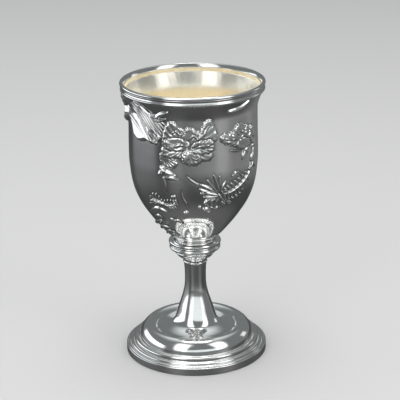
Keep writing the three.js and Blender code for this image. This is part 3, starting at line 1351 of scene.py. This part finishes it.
def bud_spray() -> list[Form]:
    """Buds, a garland and the leaves that run down to the bowl's seat on the left."""
    forms: list[Form] = [
        Stroke(((-26.5, 101.6), (-25.6, 98.4), (-25, 94.8)), 1.5, 0.6, Outline.DROP, midrib=0.15),
        Stroke(((-28, 101.8), (-20, 102.4), (-12.4, 101.4)), 2.0, 0.7, midrib=0.15),
        Stroke(((-31.6, 103.6), (-27, 105.2), (-21, 104.8), (-15, 103.6)), 2.9, 1.2, Outline.DROP),
        Stroke(((-29.4, 107.6), (-27, 106.4), (-24, 105.6)), 2.5, 1.25, Outline.BUD),
        *frond(((-47, 87.4), (-42, 88.8), (-36, 88.4), (-30, 87.8)), 5, (-1.5, 3.5), (-2.2, 4.4), 0.95),
        *frond(((-30, 87.8), (-25, 87.2), (-20, 87.8), (-15.4, 90.2)), 5, (3.5, 1.5), (-2.0, 3.6), 0.95),
        Stroke(((-39, 88.6), (-34, 88.4), (-29, 87.8)), 1.9, 0.85, Outline.BUD),
        Stroke(((-20.6, 92.2), (-18, 92.8), (-15.8, 92.8)), 1.5, 0.7, Outline.DROP),
        Stroke(((-10.6, 95.8), (-9.8, 92.0), (-7, 89.0), (-6, 86.8)), 1.0, 0.5),
        Stroke(((-5.4, 84.4), (-8, 84.0), (-10.6, 83.4)), 1.7, 0.9, Outline.BUD),
        Stroke(((-27, 79.4), (-24.6, 78.6), (-22.6, 78.2)), 1.9, 1.0, Outline.BUD),
        Stroke(((-21.4, 78.6), (-17, 78.2), (-12.6, 76)), 2.0, 0.95, Outline.DROP, midrib=0.15),
    ]
    leaves = (
        ((-54, 64.2), (-44, 66.2), (-35, 67.4), (-26, 66.8), 2.0),
        ((-62, 65.8), (-50, 68.2), (-40, 69.6), (-30, 69.2), 2.3),
        ((-72, 68.0), (-58, 70.4), (-47, 71.8), (-36, 72.4), 2.5),
        ((-78, 70.6), (-62, 73.0), (-50, 74.8), (-42, 77.0), 2.7),
        ((-58, 75.4), (-48, 78.2), (-41, 78.9), (-36.6, 74.4), 2.6),
        ((-60, 78.6), (-48, 81.8), (-38, 84.2), (-27.4, 83.2), 2.8),
    )
    for first, second, third, tip, width in leaves:
        forms.append(Stroke((first, second, third, tip), width, 1.0, midrib=0.22))
    return forms


def spray() -> list[Form]:
    """One whole spray of flowers, which covers half of the bowl."""
    return [*bud_spray(), *blades(), *large_blossom(), *side_blossom(), *daisy_spray()]


# ---------------------------------------------------------------------------- bowl
@dataclass
class Bowl:
    """The bowl's sheet with its chased wall, the gold inside, the lip wire and the seat ring.

    Sizes are mm. Back is where the mirrored spray has its middle, in degrees, and softenings is how
    often the relief is smoothed. Cell is the finest cell of the chased sheet.
    """

    sheet: float = 1.0
    gap: float = 0.12
    gilt_thickness: float = 0.25
    floor_radius: float = 10.8
    edge_radius: float = 34.8
    edge_height: float = 141.1
    gilt_edge: float = 140.7
    belly: float = 32.0
    back: float = 178.0
    softenings: int = 4
    cell: float = 0.25
    plain_cell: float = 3.0

    def wall(self) -> list[Point]:
        """Outside line of the wall, from the floor's edge to the flare under the lip."""
        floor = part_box("bowl")[0].z / MM
        return sweep(
            [
                (self.floor_radius, floor), (14.6, 65.2), (21.9, 74.2), (27.4, 82.9), (30.6, 91.6),
                (32.0, 102.0), (32.15, 110.0), (32.0, 120.0), (31.95, 129.0), (32.15, 131.4),
                (32.9, 134.0), (34.0, 136.8), (self.edge_radius, 138.7), (self.edge_radius, 139.6),
            ],
            0.3,
        )

    def outside(self) -> list[Point]:
        """Whole outside line, from the axis to the sheet's edge."""
        wall = self.wall()
        return [(0.0, wall[0][1]), *wall, (self.edge_radius, self.edge_height)]

    def inside(self, depth: float, top: float) -> list[Point]:
        """Line inside the sheet, from the axis upwards.

        Args:
            depth: Distance in from the outside.
            top: Height where it stops.

        Returns:
            The line.
        """
        wall = offset(self.wall(), depth)
        floor = wall[0][1]
        start = [(0.0, floor), (max(wall[0][0] - 0.3, 0.1), floor)]
        kept = [p for p in wall if p[1] < top - 0.2][::3]
        return [*start, *kept, (self.edge_radius - depth, top)]

    def build(self, shop: Workshop) -> None:
        """Makes the bowl's pieces.

        Args:
            shop: Trees and metals.
        """
        self.chased_wall(shop)
        depth = self.sheet + self.gap
        back = self.inside(depth, self.gilt_edge)
        face = self.inside(depth + self.gilt_thickness, self.gilt_edge)
        lining = shop.spin("gold_inside", [*back, *reversed(face)], shop.gilt)
        keep(lining, GILT.slot, "gilt_lining")
        self.lip(shop)
        self.seat(shop)

    def chased_wall(self, shop: Workshop) -> None:
        """Raises the sheet with its flowers.

        Args:
            shop: Trees and metals.
        """
        wall = self.wall()
        canvas = Canvas(wall)
        canvas.draw(spray())
        canvas.smooth(self.softenings)
        canvas.mirror(self.back)
        near_top = soft_step(canvas.along, canvas.length - 1.6, canvas.length - 0.4)
        fade = soft_step(canvas.along, 0.3, 1.5) * (1 - near_top)
        canvas.relief *= fade[:, None]

        outside = self.outside()
        inner = self.inside(self.sheet, self.edge_height)
        profile = wire("bowl_profile", [*outside, *reversed(inner)])
        top = self.floor_radius + canvas.length
        edge = top + self.edge_height - wall[-1][1]
        end = edge + self.sheet
        rest = sum(math.dist(a, b) for a, b in zip(inner[:-1], inner[1:]))
        stretches = (
            (0.0, self.floor_radius, BLOCK),
            (self.floor_radius, top, BLOCK * int(canvas.length / self.cell / BLOCK)),
            (top, edge, BLOCK),
            (edge, end, BLOCK),
            (end, end + rest, BLOCK * int(rest / self.plain_cell)),
        )
        steps = [np.linspace(a, b, n, endpoint=False) for a, b, n in stretches]
        along = np.concatenate([*steps, [end + rest]])
        columns = BLOCK * int(2 * math.pi * self.belly / self.cell / BLOCK)
        flat = refined_sheet("bowl_sheet", canvas, along, self.floor_radius, columns)
        piece = evaluate(flat, shop.walling.group, "bowl_sheet", Profile=profile, Metal=shop.chased)
        LOG.info("bowl_sheet has %d triangles", sum(len(p.vertices) - 2 for p in piece.data.polygons))
        remove(profile)
        keep(piece, CHASED.slot, "bowl")

    def lip(self, shop: Workshop) -> None:
        """Rolled lip, cove and fine lower bead, over the sheet's edge.

        Args:
            shop: Trees and metals.
        """
        low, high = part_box("rim_moulding")
        roll = 0.95
        inner = self.edge_radius + self.gap
        top = high.z / MM
        profile = [
            (inner, low.z / MM),
            *arc(34.95, 139.1, 0.75, -75, 70, 20),
            *sweep([(35.2, 139.85), (35.1, 140.35), (35.25, 140.9)], 0.12),
            *arc(high.x / MM - roll, top - roll, roll, -48, 126, 36),
            (33.75, self.edge_height + self.gap),
            (inner, self.edge_height + self.gap),
        ]
        keep(shop.spin("lip_wire", profile, shop.silver, WIDE_FLATS), SILVER.slot, "rim_moulding")

    def seat(self, shop: Workshop) -> None:
        """Ring in the groove between bowl and knop.

        Args:
            shop: Trees and metals.
        """
        low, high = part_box("bowl_seat")
        boss, step, bead = 6.0, 61.02, 0.25
        radius, top, bottom = high.x / MM, high.z / MM, low.z / MM
        profile = [
            (STUD_HOLE, top), (STUD_HOLE, bottom), (boss, bottom), (boss, step), (radius - 0.1, step),
            *arc(radius - bead, (top + step) / 2, bead, -50, 50, 6), (radius - 0.1, top),
        ]
        keep(shop.spin("seat_ring", profile, shop.silver), SILVER.slot, "bowl_seat")


FLAT_ENOUGH = 0.012
BENT_TOO_FAR = 0.03


def refined_sheet(name: str, canvas: Canvas, along: np.ndarray, start: float, columns: int) -> Object:
    """Flat sheet of cells that are two or four times finer where the relief bends.

    Args:
        name: The object's name.
        canvas: The relief.
        along: Length along the profile of each row; the number of steps is a multiple of BLOCK.
        start: Length where the wall begins.
        columns: Fine columns round the cup, a multiple of BLOCK.

    Returns:
        A mesh object with x the angle, y the length and z the relief, in radians and metres.
    """
    rows = len(along) - 1
    turn, run = np.meshgrid(np.linspace(0, 2 * math.pi, columns + 1), along)
    on_wall = (run >= start) & (run <= start + canvas.length)
    values = {n: np.where(on_wall, canvas.read(n, turn, run - start), 0.0) for n in Canvas.MAPS}
    relief = values["relief"]

    whole = misfit(relief, BLOCK) <= FLAT_ENOUGH
    split = misfit(relief, BLOCK // 2) > BENT_TOO_FAR
    coarse = np.repeat(np.repeat(whole, BLOCK, 0), BLOCK, 1)
    finest = np.repeat(np.repeat(split, BLOCK // 2, 0), BLOCK // 2, 1) & ~coarse
    used = np.zeros((rows + 1, columns + 1), bool)
    corners = {}
    for size, chosen in ((1, finest), (BLOCK // 2, ~coarse & ~finest), (BLOCK, coarse)):
        y, x = np.nonzero(chosen[::size, ::size])
        corners[size] = (y * size, x * size)
        for dy in (0, size):
            for dx in (0, size):
                used[y * size + dy, x * size + dx] = True
    used[:, 0] |= used[:, -1]
    used[:, -1] = used[:, 0]

    ids = np.cumsum(used.reshape(-1)).reshape(used.shape) - 1
    y, x = corners[1]
    faces = np.stack([ids[y, x], ids[y, x + 1], ids[y + 1, x + 1], ids[y + 1, x]], 1).tolist()
    for size in (BLOCK // 2, BLOCK):
        steps = range(size)
        border = [(0, i) for i in steps] + [(i, size) for i in steps]
        border += [(size, size - i) for i in steps] + [(size - i, 0) for i in steps]
        y, x = corners[size]
        on = np.stack([used[y + dy, x + dx] for dy, dx in border], 1)
        at = np.stack([ids[y + dy, x + dx] for dy, dx in border], 1)
        faces += [a[o].tolist() for a, o in zip(at, on)]
    mesh = bpy.data.meshes.new(name)
    mesh.from_pydata(np.stack([turn, run * MM, relief * MM], -1)[used].tolist(), [], faces)
    for label in ("chased", "groove"):
        layer = mesh.attributes.new(label, "FLOAT", "POINT")
        layer.data.foreach_set("value", values[label][used].astype(np.float32))
    return add(name, mesh)


def misfit(relief: np.ndarray, size: int) -> np.ndarray:
    """How far a plain cell would be from the relief inside it, in mm.

    Args:
        relief: Heights at the fine corners.
        size: Fine steps along a cell's side.

    Returns:
        The largest gap in each cell.
    """
    a, b = relief[:-1:size, :-1:size], relief[:-1:size, size::size]
    c, d = relief[size::size, :-1:size], relief[size::size, size::size]
    worst = np.zeros(a.shape)
    for j in range(size + 1):
        for i in range(size + 1):
            v, u = j / size, i / size
            flat = (a * (1 - u) + b * u) * (1 - v) + (c * (1 - u) + d * u) * v
            real = relief[j : relief.shape[0] - size + j : size, i : relief.shape[1] - size + i : size]
            worst = np.maximum(worst, np.abs(real - flat))
    return worst


# ---------------------------------------------------------------------------- knop
@dataclass
class Knop:
    """The hollow knop in two halves, and the collar under it."""

    radius: float = 13.3
    seam: float = 57.5

    def build(self, shop: Workshop) -> None:
        """Makes the knop's pieces.

        Args:
            shop: Trees and metals.
        """
        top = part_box("knop_upper")[1].z / MM
        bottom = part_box("knop_lower")[0].z / MM
        upper = [
            (11.6, self.seam + 0.12), (12.45, self.seam + 0.12),
            *arc(self.radius - 1.1, 59.0, 1.1, -62, 70, 28),
            *sweep([(12.3, 60.25), (11.3, 60.62), (10.0, top)], 0.25),
            (6.3, top), (6.3, top - 0.9), (10.6, 59.6), (11.6, 58.8),
        ]
        keep(shop.spin("knop_top", upper, shop.silver), SILVER.slot, "knop_upper")
        lower = [
            (STUD_HOLE, bottom), (10.3, bottom),
            *sweep([(10.7, bottom + 0.05), (11.4, 54.85), (12.0, 55.2)], 0.25),
            *arc(self.radius - 1.3, 56.2, 1.0, -60, 72, 28),
            (12.3, self.seam), (11.6, self.seam), (11.2, 56.2), (10.4, bottom + 0.9),
            (STUD_HOLE, bottom + 0.9),
        ]
        keep(shop.spin("knop_base", lower, shop.silver), SILVER.slot, "knop_lower")
        self.collar(shop)

    def collar(self, shop: Workshop) -> None:
        """Swept collar.

        Args:
            shop: Trees and metals.
        """
        low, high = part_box("collar_lower")
        bottom, top, radius = low.z / MM, high.z / MM, high.x / MM
        profile = [
            (STUD_HOLE, bottom), (8.1, bottom),
            *sweep([(8.3, bottom + 0.05), (8.9, 51.45), (9.15, 52.1), (9.75, 52.7)], 0.2),
            *arc(radius - 0.7, 53.5, 0.7, -50, 85, 20),
            (9.5, top), (STUD_HOLE, top),
        ]
        keep(shop.spin("collar", profile, shop.silver), SILVER.slot, "collar_lower")


# ---------------------------------------------------------------------------- stem and foot
@dataclass
class Foot:
    """The capital, trumpet stem, domed foot, reeding and edge wire."""

    sheet: float = 0.9
    skirt_radius: float = 20.2
    skirt: float = 12.6
    ledge: float = 12.0
    crest_radius: float = 24.0
    crest: float = 14.5

    def build(self, shop: Workshop) -> None:
        """Makes the foot's pieces.

        Args:
            shop: Trees and metals.
        """
        self.capital(shop)
        self.stem(shop)
        self.dome(shop)
        self.reeding(shop)
        self.edge(shop)

    def capital(self, shop: Workshop) -> None:
        """Beaded ring on the stem, with its spigot.

        Args:
            shop: Trees and metals.
        """
        low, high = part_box("stem_capital")
        bottom, top = low.z / MM, high.z / MM
        ring = bottom + 2.4
        profile = [
            (STUD_HOLE, bottom), (4.3, bottom), (4.3, ring), (5.5, ring),
            *arc(5.7, ring + 0.6, 0.55, -75, 75, 18),
            *sweep([(5.85, ring + 1.3), (5.95, ring + 1.9), (6.4, ring + 2.7), (7.6, top)], 0.2),
            (STUD_HOLE, top),
        ]
        keep(shop.spin("capital", profile, shop.silver), SILVER.slot, "stem_capital")

    def stem(self, shop: Workshop) -> None:
        """Hollow trumpet.

        Args:
            shop: Trees and metals.
        """
        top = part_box("stem")[1].z / MM
        outside = sweep(
            [
                (self.skirt_radius, self.skirt + 0.2), (18.6, 12.85), (16.6, 13.3), (14.4, 14.1),
                (12.4, 15.35), (11.0, 17.2), (9.9, 19.8), (8.6, 23.7), (7.4, 27.3), (6.4, 30.7),
                (5.7, 34.2), (5.4, 38.0), (5.45, 43.0), (5.75, top),
            ],
            0.3,
        )
        inside = offset(outside, self.sheet)
        inside = [p for p in inside if self.ledge + 0.1 < p[1] < top]
        inside = [(self.skirt_radius - 0.6, self.ledge + 0.12), *inside[1:], (inside[-1][0], top)]
        trumpet = shop.spin("stem_trumpet", [*outside, *reversed(inside)], shop.silver)
        keep(trumpet, SILVER.slot, "stem")

    def dome(self, shop: Workshop) -> None:
        """Rolled dome with the ledge for the skirt.

        Args:
            shop: Trees and metals.
        """
        outside = [
            (35.0, 3.1), (33.4, 3.2), (29.7, 6.3), (29.45, 7.4),
            *sweep(
                [
                    (29.2, 8.3), (28.75, 10.0), (28.0, 11.6), (26.9, 13.0), (25.5, 14.1),
                    (self.crest_radius, self.crest), (22.6, 14.25), (21.4, 13.4),
                    (self.skirt_radius + 0.4, self.skirt),
                ],
                0.25,
            ),
            (20.0, self.ledge), (16.8, self.ledge),
        ]
        inside = offset(outside, self.sheet)
        inside[0] = (35.0, 2.2)
        inside[-1] = (16.8, self.ledge - self.sheet)
        dome = shop.spin("dome", [*outside, *reversed(inside)], shop.silver, WIDE_FLATS)
        keep(dome, SILVER.slot, "foot_dome")

    def reeding(self, shop: Workshop) -> None:
        """Three reeds that climb to the dome.

        Args:
            shop: Trees and metals.
        """
        profile: list[Point] = [(35.3, 3.27)]
        for radius, height, size in ((34.7, 3.75, 0.7), (33.1, 4.7, 0.95), (31.0, 6.7, 1.15)):
            profile += arc(radius, height, size, 0, 150, 18)
        profile += [(29.75, 7.2), (29.75, 6.57), (33.45, 3.47)]
        keep(shop.spin("reeding", profile, shop.silver, WIDE_FLATS), SILVER.slot, "foot_reeding")

    def edge(self, shop: Workshop) -> None:
        """Heavy edge wire, flat underneath.

        Args:
            shop: Trees and metals.
        """
        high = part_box("foot_rim_wire")[1]
        radius, top = high.x / MM, high.z / MM
        profile = [
            (33.2, 0.0), (radius - 0.2, 0.0), (radius, 0.2), (radius, top - 0.7),
            *arc(radius - 0.5, top - 0.5, 0.5, 0, 90, 8),
            (35.55, top - 0.1), (35.55, 2.05), (33.2, 2.05),
        ]
        keep(shop.spin("edge_wire", profile, shop.silver, WIDE_FLATS), SILVER.slot, "foot_rim_wire")


@dataclass
class Fixing:
    """The stud, washer and nut inside the foot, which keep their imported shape."""

    names: tuple[str, ...] = ("centre_stud", "spreader_washer", "stud_nut")

    def build(self, shop: Workshop) -> None:
        """Gives the fixings their metal.

        Args:
            shop: Trees and metals.
        """
        for name in self.names:
            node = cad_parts[name]
            node.data.materials.clear()
            node.data.materials.append(shop.brass)
            LOG.info("%s: packed solid in brass", name)


# ---------------------------------------------------------------------------- studio
@dataclass(frozen=True)
class Panel:
    """A soft light panel that faces the cup and fades towards its edges.

    Angles are degrees round and above the cup, 0 in front; sizes are metres; glow is its brightness.
    """

    name: str
    azimuth: float
    elevation: float
    distance: float
    width: float
    height: float
    glow: float
    tint: tuple[float, float, float] = (1.0, 1.0, 1.0)
    soft: float = 0.22


@dataclass
class Studio:
    """Pale floor, soft light panels and the camera.

    The painted reflection shades are the darker floor colours that polished metal mirrors, with painted
    shadow round the cup and painted light to the right. The mirrored surround is what it sees of the
    surroundings. Rays that have bounced more than deep_inside times see the surroundings in full. Pitch and
    roll are radians.
    """

    aim: tuple[float, float, float] = (0.0, 0.0, 0.05)
    floor_size: float = 6.0
    pale: float = 0.46
    # Painted reflection shades: floor colours that metal mirrors in place of the pale floor, darkened near
    # the cup as painted shadow and lighter to the right as painted light.
    painted_reflection_at_foot: float = 0.05
    painted_shadow_near_cup: float = 0.022
    painted_reflection_left: float = 0.022
    painted_reflection_right: float = 0.12
    surround: float = 1.0
    mirrored_surround: tuple[float, float, float] = (0.17, 0.185, 0.185)
    deep_inside: float = 3.5
    bounces: int = 10
    lens: float = 126.6
    sensor: float = 36.0
    viewpoint: tuple[float, float, float] = (0.0029, -0.6704, 0.3138)
    pitch: float = 0.335
    roll: float = -0.014
    panels: tuple[Panel, ...] = (
        Panel("left_box", -33, 33, 1.2, 0.74, 1.6, 1.5, soft=0.3),
        Panel("right_box", 53, 32, 1.2, 0.7, 1.5, 1.5, soft=0.3),
        Panel("front_glow", 12, 13, 1.6, 3.4, 0.5, 0.75, (0.93, 1.0, 1.0)),
        Panel("overhead", 180, 74, 1.2, 2.4, 1.9, 0.7, (0.95, 1.0, 1.0), 0.45),
        Panel("straight_above", 180, 90, 1.0, 0.7, 0.7, 6.0, (1.0, 0.99, 0.97), 0.3),
        Panel("left_card", -101, 9, 1.1, 1.8, 0.5, 1.6, (0.93, 0.97, 1.0)),
        Panel("right_card", 118, 14, 1.3, 0.4, 0.5, 0.7),
    )

    def build(self) -> None:
        """Sets the studio up."""
        self.floor()
        for panel in self.panels:
            self.light(panel)
        self.world()
        self.camera()
        bpy.context.scene.view_settings.view_transform = "Standard"
        bpy.context.scene.cycles.glossy_bounces = self.bounces

    def floor(self) -> None:
        """Pale floor to the camera, with a darker painted reflection colour that polished metal mirrors and
        painted shadow round the cup.
        """
        half = self.floor_size / 2
        mesh = bpy.data.meshes.new("floor")
        corners = [(-half, -half, 0), (half, -half, 0), (half, half, 0), (-half, half, 0)]
        mesh.from_pydata(corners, [], [(0, 1, 2, 3)])
        floor = add("floor", mesh)
        made = bpy.data.materials.new("pale_floor")
        made.use_nodes = True
        tree = Tree(made.node_tree)
        shader = made.node_tree.nodes["Principled BSDF"]
        shader.inputs["Roughness"].default_value = 0.45
        # Painted reflection: glossy rays see a darker painted floor colour, while the camera sees the pale
        # one.
        path = tree.node("ShaderNodeLightPath").outputs["Is Glossy Ray"]
        place = tree.node("ShaderNodeTexCoord").outputs["Object"]
        away = tree.node("ShaderNodeVectorMath", operation="LENGTH")
        tree.feed(away.inputs[0], place)
        across = tree.split(place)["X"]
        shades = (self.painted_reflection_at_foot, self.painted_shadow_near_cup, self.painted_reflection_left, self.painted_reflection_right)
        foot, near, left, right = ((shade, shade, shade, 1) for shade in shades)
        # Painted light from dark on the left to lighter on the right, then a painted shadow ring round the
        # cup, with a slightly lighter patch at the foot.
        painted_floor_reflection = tree.blend(tree.ramp(across, -0.35, 0.35), left, right)
        painted_floor_reflection = tree.blend(tree.ramp(away.outputs["Value"], 0.14, 0.32), near, painted_floor_reflection)
        painted_floor_reflection = tree.blend(tree.ramp(away.outputs["Value"], 0.05, 0.11), foot, painted_floor_reflection)
        tree.feed(shader.inputs["Base Color"], tree.blend(path, (*(self.pale,) * 3, 1), painted_floor_reflection))
        mesh.materials.append(made)

    def light(self, panel: Panel) -> None:
        """Hangs one panel.

        Args:
            panel: Its place, size and glow.
        """
        lamp = bpy.data.lights.new(panel.name, "AREA")
        lamp.shape = "RECTANGLE"
        lamp.size, lamp.size_y = panel.width, panel.height
        lamp.energy = panel.glow * math.pi * panel.width * panel.height
        lamp.color = panel.tint
        lamp.use_nodes = True
        tree = Tree(lamp.node_tree)
        spot = tree.split(tree.node("ShaderNodeNewGeometry").outputs["Parametric"])
        fade: object = 1.0
        for side in ("X", "Y"):
            from_middle = tree.maths("ABSOLUTE", tree.maths("SUBTRACT", spot[side], 0.5))
            inwards = tree.maths("SUBTRACT", 0.5, from_middle)
            fade = tree.maths("MULTIPLY", fade, tree.ramp(inwards, 0.0, panel.soft))
        tree.feed(lamp.node_tree.nodes["Emission"].inputs["Strength"], fade)
        made = add(panel.name, lamp)
        a, e = math.radians(panel.azimuth), math.radians(panel.elevation)
        back = Vector((math.sin(a) * math.cos(e), -math.cos(a) * math.cos(e), math.sin(e)))
        made.location = Vector(self.aim) + back * panel.distance
        made.rotation_euler = (-back).to_track_quat("-Z", "Y").to_euler()
        made.visible_camera = False

    def world(self) -> None:
        """Even surroundings, which metal mirrors as darker and the deep inside gathers whole."""
        world = bpy.data.worlds.new("studio")
        world.use_nodes = True
        tree = Tree(world.node_tree)
        ground = world.node_tree.nodes["Background"]
        path = tree.node("ShaderNodeLightPath").outputs
        deep = tree.maths("GREATER_THAN", path["Glossy Depth"], self.deep_inside)
        tent = (self.surround, self.surround, self.surround, 1)
        mirrored = tree.blend(deep, (*self.mirrored_surround, 1), tent)
        tree.feed(ground.inputs["Color"], tree.blend(path["Is Glossy Ray"], tent, mirrored))
        bpy.context.scene.world = world

    def camera(self) -> None:
        """Places the camera in front of the cup, a little above it."""
        lens = bpy.data.cameras.new("camera")
        lens.lens, lens.sensor_width = self.lens, self.sensor
        lens.clip_start, lens.clip_end = 0.01, 20.0
        made = add("camera", lens)
        made.location = self.viewpoint
        level = Euler((math.pi / 2 - self.pitch, 0.0, 0.0)).to_matrix().to_4x4()
        made.rotation_mode = "QUATERNION"
        made.rotation_quaternion = (level @ Matrix.Rotation(self.roll, 4, "Z")).to_quaternion()
        bpy.context.scene.camera = made


def main() -> None:
    """Builds the studio and the cup, sub-assembly by sub-assembly."""
    Studio().build()
    shop = Workshop.open()
    for assembly in (Foot(), Knop(), Bowl(), Fixing()):
        LOG.info("building %s", type(assembly).__name__.lower())
        assembly.build(shop)


if __name__ == "__main__":
    main()
